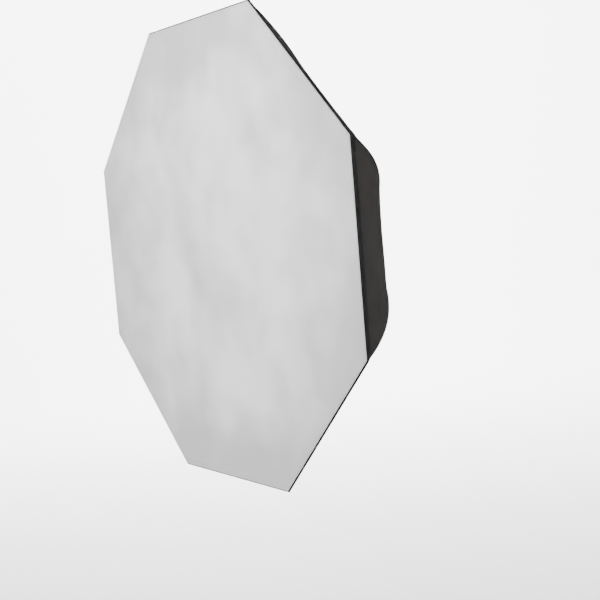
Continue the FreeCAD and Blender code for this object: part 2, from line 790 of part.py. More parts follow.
def make_front():
    """Rim webbing, the two tapes, the diffuser's hem and the diffuser, from the rear to the front."""
    gap = cell("layer_gap")
    webbing_front = f"{cell('rim_y')} + {cell('tape')} + {gap}"
    webbing_corner = f"{cell('rim_corner')} - {cell('webbing_inset')}"
    tape_corner = f"{webbing_corner} - {cell('tape_inset')}"
    octagon_plate("rim_webbing", webbing_corner, webbing_front, cell("webbing"), cell("webbing_width"))
    octagon_plate("rim_loop_tape", tape_corner, cell("rim_y"), cell("tape"), cell("tape_width"))
    hook_front = f"{cell('rim_y')} - {cell('tape_clearance')} - {cell('tape')}"
    octagon_plate("diffuser_hook_tape", tape_corner, hook_front, cell("tape"), cell("tape_width"))
    hem_front = f"{hook_front} - {gap} - {cell('hem')}"
    edge = f"{cell('rim_corner')} - {cell('diffuser_inset')}"
    octagon_plate("diffuser_hem", edge, hem_front, cell("hem"), cell("hem_width"))
    front = f"{hem_front} - {gap} - {cell('diffuser_cloth')}"
    octagon_plate("front_diffuser", edge, front, cell("diffuser_cloth"))


# ---------------------------------------------------------------- inner baffle


def make_baffle():
    """The octagonal inner diffuser and the hem behind it."""
    front = cell("baffle_y")
    octagon_plate("inner_baffle", cell("baffle_corner"), front, cell("baffle_cloth"))
    hem_front = f"{front} + {cell('baffle_cloth')} + {cell('layer_gap')}"
    octagon_plate("baffle_hem", cell("baffle_corner"), hem_front, cell("baffle_hem"),
                  cell("baffle_hem_width"))


def make_baffle_straps():
    """Eight straps from the baffle's corners to the rods."""
    body = new_body("strap_master")
    half = f"{cell('strap_width')} / 2"
    outline = polygon(body, "strap_outline", "XZ_Plane", [
        (f"-{half}", cell("strap_start")),
        (half, cell("strap_start")),
        (half, cell("strap_end")),
        (f"-{half}", cell("strap_end")),
    ])
    behind = f"{cell('baffle_cloth')} + {cell('baffle_hem')} + 2 * {cell('layer_gap')}"
    outline.setExpression("AttachmentOffset.Base.z", f"-({cell('baffle_y')} + {behind})")
    pad(body, "strap_pad", outline, cell("strap_thickness"), reversed_way=True)
    stud_hole = circles(body, "stud_hole", "XZ_Plane", cell("stud_circle"), [f"{cell('stud_radius')} + 0.05"])
    pocket_through(body, "stud_hole_cut", stud_hole)
    places = [round_the_axis(corner_angle(k)) for k in range(1, SIDES + 1)]
    return group_of("baffle_straps", body, places)


def make_press_studs():
    """Eight press studs, which close the straps on the baffle's hem."""
    body = new_body("stud_master")
    hem_rear = f"{cell('baffle_y')} + {cell('baffle_cloth')} + {cell('baffle_hem')} + 2 * {cell('layer_gap')}"
    centre = cell("stud_circle")
    rear = f"{hem_rear} + {cell('strap_thickness')} + {cell('stud_height')}"
    profile = polygon(body, "stud_profile", "YZ_Plane", [
        (hem_rear, centre),
        (hem_rear, f"{centre} + {cell('stud_radius')}"),
        (f"{rear} - 0.8", f"{centre} + {cell('stud_radius')}"),
        (rear, f"{centre} + {cell('stud_radius')} - 1.5"),
        (rear, centre),
    ], axis=[(hem_rear, centre), (rear, centre)])
    turn(body, "stud_turning", profile, axis="Axis0")
    places = [round_the_axis(corner_angle(k)) for k in range(1, SIDES + 1)]
    return group_of("press_studs", body, places)


make_insert()
make_retainer()
make_retainer_screws()
make_washer()
make_speedring()
make_lock_knob()
make_lock_pad()
make_rod_sockets()
make_rods()
make_rod_ferrules()
make_rod_caps()
make_corner_pockets()
make_rod_keepers()
make_shell_panels()
make_seam_bindings()
make_rim_binding()
make_collar()
make_collar_elastic()
make_front()
make_baffle()
make_baffle_straps()
make_press_studs()
doc.recompute()

for made in doc.Objects:
    bad = [state for state in made.State if state in ("Invalid", "Error")]
    if bad:
        raise RuntimeError(f"{made.Name} ({made.Label}) is {bad}")
for node, made in sub_parts.items():
    if made.Shape.isNull() or not made.Shape.isValid() or made.Shape.Volume <= 0:
        raise RuntimeError(f"{node} has no valid solid")

os.makedirs("parts", exist_ok=True)
for node, made in sub_parts.items():
    made.Shape.exportStep(f"parts/{node}.step")
    print(node, len(made.Shape.Solids), round(made.Shape.Volume / 1000, 2), "cm3")
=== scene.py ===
import bpy
import math
import random
import numpy as np
from mathutils import Matrix, Vector, noise


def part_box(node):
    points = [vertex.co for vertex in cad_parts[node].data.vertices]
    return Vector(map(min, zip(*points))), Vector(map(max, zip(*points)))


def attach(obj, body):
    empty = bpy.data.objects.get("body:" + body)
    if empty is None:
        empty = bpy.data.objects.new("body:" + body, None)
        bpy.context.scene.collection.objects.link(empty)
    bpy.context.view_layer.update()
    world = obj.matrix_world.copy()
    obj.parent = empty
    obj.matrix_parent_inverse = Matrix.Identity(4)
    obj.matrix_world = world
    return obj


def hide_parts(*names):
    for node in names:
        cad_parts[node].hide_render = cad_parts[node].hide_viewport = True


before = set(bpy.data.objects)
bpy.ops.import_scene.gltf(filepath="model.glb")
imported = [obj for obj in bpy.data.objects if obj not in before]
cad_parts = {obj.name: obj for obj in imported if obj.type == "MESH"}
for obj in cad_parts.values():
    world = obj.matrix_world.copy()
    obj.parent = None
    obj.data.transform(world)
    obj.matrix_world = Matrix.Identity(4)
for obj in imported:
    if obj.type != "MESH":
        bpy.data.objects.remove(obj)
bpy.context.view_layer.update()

# Main sizes in metres, the same as the CAD model's. The optical axis is Y, and the softbox shines towards -Y.
SIDES = 8
STEP = math.radians(45)
HALF = STEP / 2
RIM_Y = -0.540
CORNER = 0.750
APOTHEM = CORNER * math.cos(HALF)
ARC = 1.250
FRONT_ANGLE = math.radians(31.6)
ARC_Y = RIM_Y - ARC * math.sin(FRONT_ANGLE)
ARC_Z = APOTHEM - ARC * math.cos(FRONT_ANGLE)
REAR_Z = 0.0998
PHI_REAR = math.asin((REAR_Z - ARC_Z) / ARC)
PHI_RIM = math.pi / 2 - FRONT_ANGLE
CLOTH = 0.0009
ROD_ARC = 1.290
ROD_TILT = math.radians(19.9)
ROD_SWEEP = math.radians(34.5)
SOCKET = Vector((0, -0.056, 0.112))
KEEPERS = (12.9, 24.9)
BAFFLE_CORNER = 0.520
STRAP_START = 0.480
X_AXIS = np.array([1.0, 0, 0])
ROD_CENTRE = SOCKET - ROD_ARC * Vector((0, math.cos(ROD_TILT), math.sin(ROD_TILT)))
HOLLOW = 0.011  # of a gore's width, at its middle
RODS = [f"rod_{k}" for k in range(1, SIDES + 1)]


# ---------------------------------------------------------------- geometry helpers


def turned(points, angle):
    """Points turned about the optical axis, clockwise as seen from the front."""
    points = np.asarray(points, float)
    c, s = math.cos(angle), math.sin(angle)
    out = points.copy()
    out[..., 0] = points[..., 0] * c + points[..., 2] * s
    out[..., 2] = -points[..., 0] * s + points[..., 2] * c
    return out


def smooth_noise(x, y, z=0.0):
    return noise.noise(Vector((x, y, z)))


def ramp(x, low, high):
    """0 below low, 1 above high, and smooth between."""
    f = min(1.0, max(0.0, (x - low) / (high - low)))
    return f * f * (3 - 2 * f)


def mesh_object(name, verts, faces, uvs, materials, face_material=None):
    mesh = bpy.data.meshes.new(name)
    mesh.from_pydata([tuple(v) for v in verts], [], faces)
    layer = mesh.uv_layers.new(name="cloth")
    corner = np.empty(len(mesh.loops), int)
    mesh.loops.foreach_get("vertex_index", corner)
    layer.data.foreach_set("uv", np.asarray(uvs, float)[corner].ravel())
    for material in materials:
        mesh.materials.append(material)
    if face_material is not None:
        mesh.polygons.foreach_set("material_index", face_material)
    mesh.polygons.foreach_set("use_smooth", [True] * len(mesh.polygons))
    mesh.validate()
    mesh.update()
    made = bpy.data.objects.new(name, mesh)
    bpy.context.scene.collection.objects.link(made)
    return made


def grid_faces(rows, cols, first=0, flip=False, wrap=False):
    faces = []
    for i in range(rows - 1):
        for j in range(cols if wrap else cols - 1):
            a, b = first + i * cols + j, first + i * cols + (j + 1) % cols
            c, d = b + cols, a + cols
            faces.append((a, d, c, b) if flip else (a, b, c, d))
    return faces


def slab(name, outer, inner, uv, materials, wrap=False):
    """A thin closed sheet between two grids of points. The second material is for its back."""
    rows, cols = outer.shape[:2]
    n = rows * cols
    verts = np.concatenate([outer.reshape(-1, 3), inner.reshape(-1, 3)])
    uvs = np.concatenate([uv.reshape(-1, 2)] * 2)
    front = grid_faces(rows, cols, 0, False, wrap)
    back = grid_faces(rows, cols, n, True, wrap)
    rim = []
    for i, flip in ((0, True), (rows - 1, False)):
        for j in range(cols if wrap else cols - 1):
            a, b = i * cols + j, i * cols + (j + 1) % cols
            rim.append((a, b, b + n, a + n) if flip else (a, a + n, b + n, b))
    if not wrap:
        for j, flip in ((0, False), (cols - 1, True)):
            for i in range(rows - 1):
                a, b = i * cols + j, (i + 1) * cols + j
                rim.append((a, b, b + n, a + n) if flip else (a, a + n, b + n, b))
    kinds = [0] * len(front) + [1] * len(back) + [0] * len(rim)
    return mesh_object(name, verts, front + back + [f[::-1] for f in rim], uvs, materials, kinds)


def tube(name, sections, uv_around, uv_along, materials, closed=False):
    """A skin through a row of closed sections, capped unless the row closes on itself."""
    sections = np.asarray(sections, float)
    rows, cols = sections.shape[:2]
    faces = grid_faces(rows, cols, 0, False, True)
    if closed:
        last = (rows - 1) * cols
        for j in range(cols):
            k = (j + 1) % cols
            faces.append((last + j, last + k, k, j))
    else:
        faces.append(tuple(range(cols))[::-1])
        faces.append(tuple((rows - 1) * cols + j for j in range(cols)))
    uv = np.stack(np.meshgrid(uv_around, uv_along), -1)
    return mesh_object(name, sections.reshape(-1, 3), faces, uv.reshape(-1, 2), materials)


def ribbon_section(width, thick):
    """Section of a flat woven tape with rounded edges: pairs of across and up."""
    corners = 3
    r = thick / 2
    points = []
    for side, start in ((1, -90), (-1, 90)):
        for k in range(corners + 1):
            a = math.radians(start + 180 * k / corners)
            points.append((side * (width / 2 - r) + r * math.cos(a), r * math.sin(a)))
    across = []
    for side in (1, -1):
        across += [(side * width * f, side * thick / 2) for f in (0.30, 0.10, -0.10, -0.30)]
    ring = points[:corners + 1] + across[:4] + points[corners + 1:] + across[4:]
    return np.array(ring)


def ribbon(name, path, sides, ups, width, thick, materials, closed=False):
    """A tape along a path, with a side and an up direction at each point of it."""
    ring = ribbon_section(width, thick)
    path, sides, ups = (np.asarray(a, float) for a in (path, sides, ups))
    sections = path[:, None] + ring[None, :, :1] * sides[:, None] + ring[None, :, 1:] * ups[:, None]
    along = np.concatenate([[0], np.cumsum(np.linalg.norm(np.diff(path, axis=0), axis=1))])
    return tube(name, sections, ring[:, 0], along, materials, closed)


def joined(name, objects):
    """Merges meshes into the first of them."""
    for o in bpy.context.selected_objects:
        o.select_set(False)
    for o in objects:
        o.select_set(True)
    bpy.context.view_layer.objects.active = objects[0]
    bpy.ops.object.join()
    made = objects[0]
    made.name = name
    made.data.name = name
    made.select_set(False)
    return made


# Place along a stitch, its thickness there and how far it stands up, in parts of its length and radius.
STITCH_PROFILE = ((-0.5, 0.35, 0.0), (-0.3, 1, 0.8), (0, 1.08, 1.0), (0.3, 1, 0.8), (0.5, 0.35, 0.0))


def stitches(name, rows, material, length=0.0030, radius=0.00042, pitch=0.0046):
    """Sewing thread along rows of (points, normals): each stitch is a short rounded length of thread."""
    ring = [(math.cos(a), math.sin(a)) for a in np.linspace(0, 2 * math.pi, 6, endpoint=False)]
    shape = np.array([(x * length, r * radius * c, r * radius * s - (1 - lift) * radius)
                      for x, r, lift in STITCH_PROFILE
                      for c, s in ring])
    skin = grid_faces(5, 6, 0, True, True) + [tuple(range(6)), tuple(range(24, 30))[::-1]]
    verts, faces, uvs = [], [], []
    for points, normals in rows:
        points, normals = np.asarray(points, float), np.asarray(normals, float)
        run = np.concatenate([[0], np.cumsum(np.linalg.norm(np.diff(points, axis=0), axis=1))])
        marks = np.arange(pitch / 2, run[-1], pitch)
        here = np.stack([np.interp(marks, run, points[:, i]) for i in range(3)], -1)
        ahead = np.stack([np.interp(marks + 0.0005, run, points[:, i]) for i in range(3)], -1)
        back = np.stack([np.interp(marks - 0.0005, run, points[:, i]) for i in range(3)], -1)
        up = np.stack([np.interp(marks, run, normals[:, i]) for i in range(3)], -1)
        for p, d, n in zip(here, ahead - back, up):
            d = d / (np.linalg.norm(d) + 1e-12)
            n = n - d * n.dot(d)
            n = n / np.linalg.norm(n)
            s = np.cross(n, d)
            first = len(verts)
            verts.extend(p + shape[:, :1] * d + shape[:, 1:2] * s + shape[:, 2:] * n)
            faces.extend(tuple(first + i for i in f) for f in skin)
            uvs.extend(shape[:, :2])
    return mesh_object(name, verts, faces, uvs, [material])


def octagon_ring(apothem, per_side):
    """Points round an octagon in the XZ plane, with flat sides at the top, bottom, left and right."""
    points = []
    for k in range(SIDES):
        half = apothem * math.tan(HALF)
        side = [(-half + 2 * half * i / per_side, 0, apothem) for i in range(per_side)]
        points.append(turned(side, STEP * k))
    return np.concatenate(points)


# ---------------------------------------------------------------- materials


class Nodes:
    """A Principled material with short helpers for its node tree."""

    def __init__(self, name):
        self.material = bpy.data.materials.new(name)
        self.material.use_nodes = True
        self.tree = self.material.node_tree
        self.shader = self.tree.nodes["Principled BSDF"]

    def set(self, **values):
        for key, value in values.items():
            self.shader.inputs[key.replace("_", " ")].default_value = value
        return self

    def add(self, kind, **values):
        node = self.tree.nodes.new(kind)
        for key, value in values.items():
            setattr(node, key, value)
        return node

    def link(self, out, into):
        self.tree.links.new(out, into)

    def coords(self, kind):
        return self.add("ShaderNodeTexCoord").outputs[kind]

    def noise(self, coords, scale, detail=3.0, rough=0.55):
        node = self.add("ShaderNodeTexNoise")
        node.inputs["Scale"].default_value = scale
        node.inputs["Detail"].default_value = detail
        node.inputs["Roughness"].default_value = rough
        self.link(coords, node.inputs["Vector"])
        return node.outputs["Fac"]

    def wave(self, coords, scale, direction, distortion=0.0):
        node = self.add("ShaderNodeTexWave", bands_direction=direction)
        node.inputs["Scale"].default_value = scale
        node.inputs["Distortion"].default_value = distortion
        self.link(coords, node.inputs["Vector"])
        return node.outputs["Fac"]

    def math(self, operation, a, b):
        node = self.add("ShaderNodeMath", operation=operation)
        for value, socket in zip((a, b), node.inputs):
            if isinstance(value, (int, float)):
                socket.default_value = value
            else:
                self.link(value, socket)
        return node.outputs[0]

    def shades(self, factor, stops):
        node = self.add("ShaderNodeValToRGB")
        ramp_ = node.color_ramp
        while len(ramp_.elements) < len(stops):
            ramp_.elements.new(0.5)
        for element, (place, colour) in zip(ramp_.elements, stops):
            element.position = place
            element.color = (*colour, 1)
        self.link(factor, node.inputs["Fac"])
        return node.outputs["Color"]

    def bump(self, height, strength, distance, below=None):
        node = self.add("ShaderNodeBump")
        node.inputs["Strength"].default_value = strength
        node.inputs["Distance"].default_value = distance
        self.link(height, node.inputs["Height"])
        if below:
            self.link(below, node.inputs["Normal"])
        return node.outputs["Normal"]

    def spread(self, factor, low, high):
        node = self.add("ShaderNodeMapRange")
        node.inputs["To Min"].default_value = low
        node.inputs["To Max"].default_value = high
        self.link(factor, node.inputs["Value"])
        return node.outputs["Result"]


def grey(value, warm=0.0):
    return (value * (1 + warm), value, value * (1 - warm))


def cloth(name, dark, light, yarn, roughness, sheen, patch=6.0, weave_depth=0.00012, metallic=0.0, warm=0.0,
          crease=0.0, gloss=0.5, contrast=0.21, painted_rim_shade=0.0, detail=4.0):
    """Plain-woven cloth: crossing yarns, patchy tone, slight sheen. yarn is the weave's period in metres. Its
    rim shade, when given, is painted shade: the colour darkens towards the sheet's rim, where the cloth would
    get less light.
    """
    m = Nodes(name)
    uv = m.coords("UV")
    place = m.coords("Object")
    weft = m.wave(uv, 0.314 / yarn, "X", 0.15)
    warp = m.wave(uv, 0.314 / yarn, "Y", 0.15)
    weave = m.math("MAXIMUM", weft, warp)
    patches = m.noise(place, patch, detail, 0.6)
    fibre = m.noise(uv, 900.0, 2.0)
    tone = m.math("ADD", m.math("MULTIPLY", patches, 0.72), m.math("MULTIPLY", weave, 0.28))
    # Painted shade: the colour is darkened towards the rim of the sheet, from 0.62 to 0.98 m out from the
    # object's origin, standing in for the weaker light there.
    if painted_rim_shade:
        reach = m.add("ShaderNodeVectorMath", operation="LENGTH")
        m.link(place, reach.inputs[0])
        painted_rim_shade_ramp = m.add("ShaderNodeMapRange", interpolation_type="SMOOTHSTEP")
        for key, value in (("From Min", 0.62), ("From Max", 0.98), ("To Min", 0.0), ("To Max", painted_rim_shade)):
            painted_rim_shade_ramp.inputs[key].default_value = value
        m.link(reach.outputs["Value"], painted_rim_shade_ramp.inputs["Value"])
        tone = m.math("SUBTRACT", tone, painted_rim_shade_ramp.outputs["Result"])
    stops = [(0.51 - contrast, grey(dark, warm)), (0.51 + contrast, grey(light, warm))]
    m.link(m.shades(tone, stops), m.shader.inputs["Base Color"])
    m.link(m.spread(m.math("ADD", m.math("MULTIPLY", patches, 0.5), m.math("MULTIPLY", fibre, 0.5)),
                    roughness - 0.08, roughness + 0.08), m.shader.inputs["Roughness"])
    normal = None
    if crease:
        folds = m.noise(place, 14.0, 5.0, 0.62)
        normal = m.bump(folds, crease, 0.004)
    normal = m.bump(m.math("ADD", weave, m.math("MULTIPLY", fibre, 0.4)), 0.55, weave_depth, normal)
    m.link(normal, m.shader.inputs["Normal"])
    m.set(Sheen_Weight=sheen, Sheen_Roughness=0.45, Metallic=metallic, Specular_IOR_Level=gloss)
    return m.material


def ribbed(name, dark, light, rib, roughness, sheen, across="Y", gloss=0.5):
    """Woven tape with ribs across it and a flatter selvedge pattern along it."""
    m = Nodes(name)
    uv = m.coords("UV")
    ribs = m.wave(uv, 0.314 / rib, across)
    cross = m.wave(uv, 0.314 / (rib * 1.6), "X" if across == "Y" else "Y", 0.4)
    height = m.math("ADD", ribs, m.math("MULTIPLY", cross, 0.45))
    patches = m.noise(m.coords("Object"), 22.0, 4.0)
    tone = m.math("ADD", m.math("MULTIPLY", patches, 0.6), m.math("MULTIPLY", ribs, 0.4))
    m.link(m.shades(tone, [(0.25, grey(dark)), (0.80, grey(light))]), m.shader.inputs["Base Color"])
    m.link(m.spread(patches, roughness - 0.1, roughness + 0.1), m.shader.inputs["Roughness"])
    m.link(m.bump(height, 0.7, 0.0003), m.shader.inputs["Normal"])
    m.set(Sheen_Weight=sheen, Specular_IOR_Level=gloss)
    return m.material


def pile(name, dark, light):
    """Hook-and-loop pile: a dense field of tiny loops."""
    m = Nodes(name)
    uv = m.coords("UV")
    cells = m.add("ShaderNodeTexVoronoi")
    cells.inputs["Scale"].default_value = 750.0
    m.link(uv, cells.inputs["Vector"])
    fuzz = m.noise(uv, 1400.0, 3.0)
    height = m.math("ADD", cells.outputs["Distance"], m.math("MULTIPLY", fuzz, 0.6))
    m.link(m.shades(height, [(0.15, grey(dark)), (0.95, grey(light))]), m.shader.inputs["Base Color"])
    m.link(m.bump(height, 0.9, 0.0006), m.shader.inputs["Normal"])
    m.set(Roughness=0.92, Sheen_Weight=0.1, Specular_IOR_Level=0.1)
    return m.material


def metal(name, colour, roughness, turned_marks=0.0, speckle=0.0, metallic=1.0, gloss=0.5):
    """Turned, plated or powder-coated metal with fine tool marks or grain, and rubbed patches."""
    m = Nodes(name)
    place = m.coords("Object")
    wear = m.noise(place, 55.0, 5.0, 0.65)
    light = tuple(min(1.0, c * 1.28 + 0.01) for c in colour)
    dark = tuple(c * 0.86 for c in colour)
    m.link(m.shades(wear, [(0.35, dark), (0.75, light)]), m.shader.inputs["Base Color"])
    polish = m.spread(m.noise(place, 160.0, 3.0), roughness - 0.07, roughness + 0.1)
    m.link(polish, m.shader.inputs["Roughness"])
    grain = 420.0 if speckle else 90.0
    normal = m.bump(m.noise(place, grain, 4.0), 0.25 + speckle, 0.0002 + 0.0002 * speckle)
    if turned_marks:
        rings = m.add("ShaderNodeTexWave", wave_type="BANDS", bands_direction="Y")
        rings.inputs["Scale"].default_value = 520.0
        m.link(place, rings.inputs["Vector"])
        normal = m.bump(rings.outputs["Fac"], turned_marks, 0.00006, normal)
    m.link(normal, m.shader.inputs["Normal"])
    m.set(Metallic=metallic, Specular_IOR_Level=gloss)
    return m.material


def plastic(name, colour, roughness, grain=320.0, depth=0.00025, coat=0.0, streak=0.0, gloss=0.5):
    """Moulded plastic or rubber with a spark-eroded grain, scuffs, and streaks where it is pultruded."""
    m = Nodes(name)
    place = m.coords("Object")
    scuff = m.noise(place, 38.0, 6.0, 0.7)
    light = tuple(min(1.0, c * 1.35 + 0.006) for c in colour)
    tone = scuff
    if streak:
        fibres = m.noise(place, 700.0, 2.0)
        tone = m.math("ADD", m.math("MULTIPLY", scuff, 0.5), m.math("MULTIPLY", fibres, 0.5))
    m.link(m.shades(tone, [(0.35, colour), (0.8, light)]), m.shader.inputs["Base Color"])
    m.link(m.spread(scuff, roughness - 0.1, roughness + 0.12), m.shader.inputs["Roughness"])
    m.link(m.bump(m.noise(place, grain, 3.0), 0.35, depth), m.shader.inputs["Normal"])
    m.set(Coat_Weight=coat, Specular_IOR_Level=gloss)
    return m.material


BLACK_NYLON = cloth("black_nylon", 0.020, 0.026, 0.0007, 0.80, 0.0, 9.0, warm=0.04, crease=0.35, gloss=0.0)
SILVER = cloth("silver_lining", 0.52, 0.70, 0.0011, 0.36, 0.0, 7.0, metallic=0.75, crease=0.5)
# The diffuser cloth's colour carries painted shade, which darkens it towards its rim.
WHITE = cloth("white_diffusion_cloth", 0.50, 0.84, 0.0006, 0.80, 0.0, 4.0, crease=0.22, gloss=0.2,
              contrast=0.15, painted_rim_shade=0.26, detail=2.0)
WHITE_HEM = cloth("white_hem_cloth", 0.68, 0.78, 0.0008, 0.72, 0.15, 5.0, crease=0.2)
BLACK_THREAD = ribbed("black_thread", 0.012, 0.022, 0.0006, 0.8, 0.0, "X", 0.02)
WHITE_THREAD = ribbed("white_thread", 0.62, 0.78, 0.0006, 0.6, 0.3, "X")
BINDING = ribbed("black_grosgrain", 0.012, 0.022, 0.0012, 0.80, 0.0, gloss=0.0)
WEBBING = ribbed("black_webbing", 0.014, 0.028, 0.0018, 0.8, 0.02, gloss=0.1)
SEAM_TAPE = cloth("grey_seam_tape", 0.10, 0.16, 0.0009, 0.6, 0.2, 12.0)
LOOP = pile("black_loop_pile", 0.008, 0.030)
HOOK = pile("white_hook_pile", 0.55, 0.78)
ELASTIC = ribbed("covered_elastic", 0.012, 0.026, 0.0009, 0.8, 0.02, gloss=0.1)
ANODISED = metal("black_anodised", (0.020, 0.020, 0.023), 0.40, 0.5)
POWDER = metal("black_powder_coat", (0.012, 0.012, 0.013), 0.6, speckle=0.6, metallic=0.0, gloss=0.15)
SOCKET_METAL = metal("turned_aluminium", (0.62, 0.63, 0.65), 0.3, 0.6)
SCREW_STEEL = metal("zinc_plated_steel", (0.56, 0.56, 0.58), 0.33, 0.3)
FERRULE = metal("ferrule_steel", (0.60, 0.60, 0.62), 0.28, 0.5)
STUD = metal("plated_stud", (0.78, 0.78, 0.80), 0.16)
KNOB = plastic("black_knob_plastic", (0.010, 0.010, 0.011), 0.55, gloss=0.12)
NYLON = plastic("natural_nylon", (0.74, 0.72, 0.66), 0.45, 200.0)
FIBREGLASS = plastic("pultruded_fibreglass", (0.055, 0.055, 0.05), 0.38, 500.0, 0.0001, 0.3, 1.0)
RUBBER = plastic("black_rubber", (0.012, 0.012, 0.012), 0.8, 260.0, 0.0004, gloss=0.1)


def repaint(node, material):
    made = bpy.data.objects[node] if node in bpy.data.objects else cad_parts[node]
    if not made.data.materials:
        made.data.materials.append(material)
    for slot in made.material_slots:
        slot.material = material


for node, material in {
    "bayonet_insert": ANODISED,
    "insert_retainer": ANODISED,
    "retainer_screws": SCREW_STEEL,
    "glide_washer": NYLON,
    "speedring": POWDER,
    "rod_sockets": SOCKET_METAL,
    "lock_knob": KNOB,
    "lock_pad": NYLON,
    "rod_ferrules": FERRULE,
    "rod_caps": RUBBER,
    "press_studs": STUD,
    **{rod: FIBREGLASS for rod in RODS},
}.items():
    repaint(node, material)


# ---------------------------------------------------------------- shell


def gore_point(across, phi, depth=0.0):
    """A point of the top gore: across is -1 to 1 between its seams, and depth is below its outer face."""
    radius = ARC - depth
    z = ARC_Z + radius * math.sin(phi)
    return (across * z * math.tan(HALF), ARC_Y + radius * math.cos(phi), z)


def gore_width(phi):
    return 2 * math.tan(HALF) * (ARC_Z + ARC * math.sin(phi))


def gore_relief(across, phi, k):
    """How far the stretched cloth lies below its straight gore: a hollow between rods, puckers at seams."""
    t = (phi - PHI_REAR) / (PHI_RIM - PHI_REAR)
    width = gore_width(phi)
    hold = ramp(t, 0.0, 0.25) * (1 - ramp(t, 0.75, 1.0))
    hollow = HOLLOW * width * (1 - across * across) * hold
    from_seam = (1 - abs(across)) * width / 2
    along = phi * ARC
    seed = 17.0 * k + (5.0 if across > 0 else 0.0)
    wobble = smooth_noise(along * 14, seed)
    pucker = 0.0007 * math.sin(along * 2 * math.pi / 0.027 + 5 * wobble) * math.exp(-from_seam / 0.016)
    pucker *= 0.55 + 0.9 * abs(smooth_noise(along * 9, seed, 3.0))
    seam_fade = ramp(from_seam, 0.0, 0.004)
    drift = 0.0016 * smooth_noise(across * width * 7, along * 5, seed) * ramp(from_seam, 0.0, 0.06)
    corner = max(0.0, t - 0.55) / 0.45
    pull_line = math.sin((from_seam - (1 - t) * 0.16) * 2 * math.pi / 0.055 + 2 * wobble)
    near_seam = math.exp(-((from_seam - 0.05) / 0.06) ** 2)
    pull = 0.0009 * pull_line * near_seam * corner * (1 - ramp(t, 0.97, 1.0))
    return hollow + (pucker * seam_fade + drift + pull) * (1 - ramp(t, 0.985, 1.0))


def across_stations(count):
    """Stations between the seams, closer together near them."""
    u = np.linspace(-1, 1, count)
    return np.sin(u * math.pi / 2) * 0.55 + u * 0.45


def make_gore(k):
    """One cloth gore of the shell, black outside and silver inside, with its hollow and puckers."""
    rows, cols = 190, 41
    stations = across_stations(cols)
    angles = np.linspace(PHI_REAR, PHI_RIM - 0.0012, rows)
    outer = np.empty((rows, cols, 3))
    inner = np.empty((rows, cols, 3))
    uv = np.empty((rows, cols, 2))
    for i, phi in enumerate(angles):
        for j, across in enumerate(stations):
            relief = gore_relief(across, phi, k)
            outer[i, j] = gore_point(across, phi, relief)
            inner[i, j] = gore_point(across, phi, relief + CLOTH)
            uv[i, j] = (across * gore_width(phi) / 2, phi * ARC)
    angle = STEP * (k - 1)
    made = slab(f"gore_{k}", turned(outer, angle), turned(inner, angle), uv, [BLACK_NYLON, SILVER])
    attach(made, "softbox")
    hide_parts(f"shell_panel_{k}")


for k in range(1, SIDES + 1):
    make_gore(k)


def seam_frame(phi):
    """A point of the seam and the direction out of the cloth there, before they are turned to a corner."""
    x, y, z = gore_point(1.0, phi)
    r = math.hypot(x, z)
    step = 0.002
    x1, y1, z1 = gore_point(1.0, phi + step)
    run = np.array([0, y1 - y, math.hypot(x1, z1) - r])
    run /= np.linalg.norm(run)
    up = np.array([0, run[2], -run[1]])
    return np.array([0, y, r]), up if up[2] > 0 else -up


# Places across a strip, in parts of half its width.
STRIP_STATIONS = (-1, -0.6, -0.25, 0, 0.25, 0.6, 1)


def seam_strip(name, width, thick, lift, low, high, material, crown=0.0006):
    """A tape that follows a seam, folded along its middle to lie on both gores."""
    made = []
    for k in range(SIDES):
        angles = np.linspace(low, high, 150)
        ring = []
        for phi in angles:
            point, up = seam_frame(phi)
            slope = math.tan(HALF) * abs(up[2])
            row = []
            for face, order in ((1, STRIP_STATIONS), (0, STRIP_STATIONS[::-1])):
                for f in order:
                    x = f * width / 2
                    bend = lift + (thick if face else 0.0) + crown * (1 - f * f) * face - abs(x) * slope
                    row.append(point + X_AXIS * x + up * bend)
            ring.append(row)
        around = [f * width / 2 for f in STRIP_STATIONS + STRIP_STATIONS[::-1]]
        made.append(tube(f"{name}_{k}", turned(ring, HALF + STEP * k), around, angles * ARC, [material]))
    return joined(name, made)


def seam_rows(offset, lift, low, high):
    """Lines of sewing beside every seam, with their normals."""
    rows = []
    for k in range(SIDES):
        for side in (-1, 1):
            points, normals = [], []
            for phi in np.linspace(low, high, 170):
                point, up = seam_frame(phi)
                slope = math.tan(HALF) * abs(up[2])
                points.append(point + np.array([side * offset, 0, 0]) + up * (lift - offset * slope))
                normals.append(up + np.array([side * slope, 0, 0]))
            rows.append((turned(points, HALF + STEP * k), turned(normals, HALF + STEP * k)))
    return rows


outer_seams = seam_strip("outer_seams", 0.009, 0.0005, 0.0001, PHI_REAR + 0.004, PHI_RIM - 0.030, BLACK_NYLON)
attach(outer_seams, "softbox")
inner_seams = seam_strip("inner_seam_tapes", 0.020, -0.0006, -CLOTH - 0.0002, PHI_REAR + 0.020,
                         PHI_RIM - 0.004, SEAM_TAPE, crown=0.0)
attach(inner_seams, "softbox")
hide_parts("seam_bindings")
seam_lines = seam_rows(0.0032, 0.0009, PHI_REAR + 0.006, PHI_RIM - 0.032)
seam_sewing = stitches("seam_stitches", seam_lines, BLACK_THREAD)
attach(seam_sewing, "softbox")


# ---------------------------------------------------------------- front rim


def rim_path(apothem, y, per_side):
    """Points round the rim, with the direction of each side's outward normal, mitred at the corners."""
    points, outs = [], []
    for k in range(SIDES):
        half = apothem * math.tan(HALF)
        for i in range(per_side):
            f = i / per_side
            points.append(turned([(-half + 2 * half * f, y, apothem)], STEP * k)[0])
            at_corner = 1 if i == 0 else 0
            angle = STEP * k - (HALF if at_corner else 0)
            scale = 1 / math.cos(HALF) if at_corner else 1.0
            outs.append(turned([(0, 0, scale)], angle)[0])
    return np.array(points), np.array(outs)


